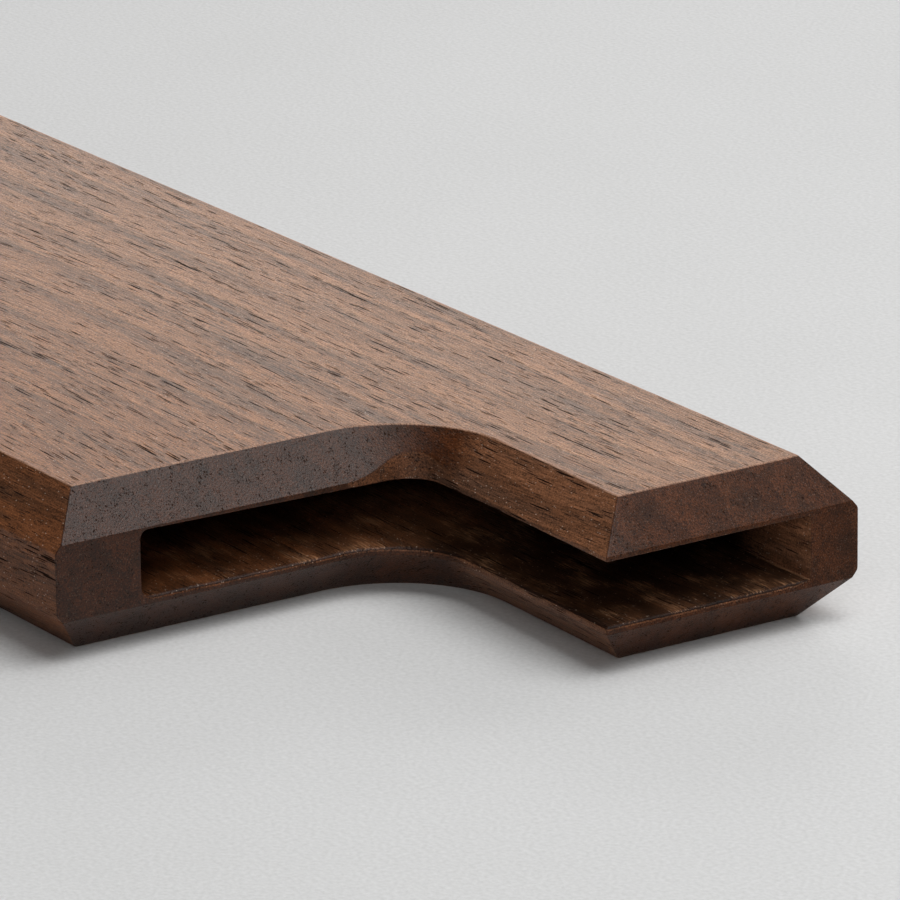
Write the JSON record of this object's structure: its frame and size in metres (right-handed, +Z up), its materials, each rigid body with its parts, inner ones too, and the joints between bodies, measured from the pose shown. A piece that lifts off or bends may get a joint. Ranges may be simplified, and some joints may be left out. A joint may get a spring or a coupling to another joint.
{
  "type": "magnetic knife sheath",
  "caption": "Flat bevelled walnut sheath that holds a kitchen knife's blade by magnets, with a wide slot open at a stepped mouth.",
  "frame": {"origin": "centre of the footprint, on the lower broad face that it rests on", "axes": "+X along the sheath towards the open mouth, +Y across it towards the side with the longer finger, +Z up through the thickness"},
  "size_m": [0.25, 0.0688, 0.016],
  "materials": {
    "board_walnut": "oiled, sanded",
    "cover_walnut": "raw, sanded",
    "magnet_nickel": "nickel plated"
  },
  "bodies": {
    "root": {"upper_half": "board_walnut", "lower_half": "board_walnut", "magnet_upper_tip": "magnet_nickel", "cover_disc_upper_tip": "cover_walnut", "magnet_upper_middle": "magnet_nickel", "cover_disc_upper_middle": "cover_walnut", "magnet_upper_mouth": "magnet_nickel", "cover_disc_upper_mouth": "cover_walnut", "magnet_lower_tip": "magnet_nickel", "cover_disc_lower_tip": "cover_walnut", "magnet_lower_middle": "magnet_nickel", "cover_disc_lower_middle": "cover_walnut", "magnet_lower_mouth": "magnet_nickel", "cover_disc_lower_mouth": "cover_walnut"}
  },
  "joints": []
}
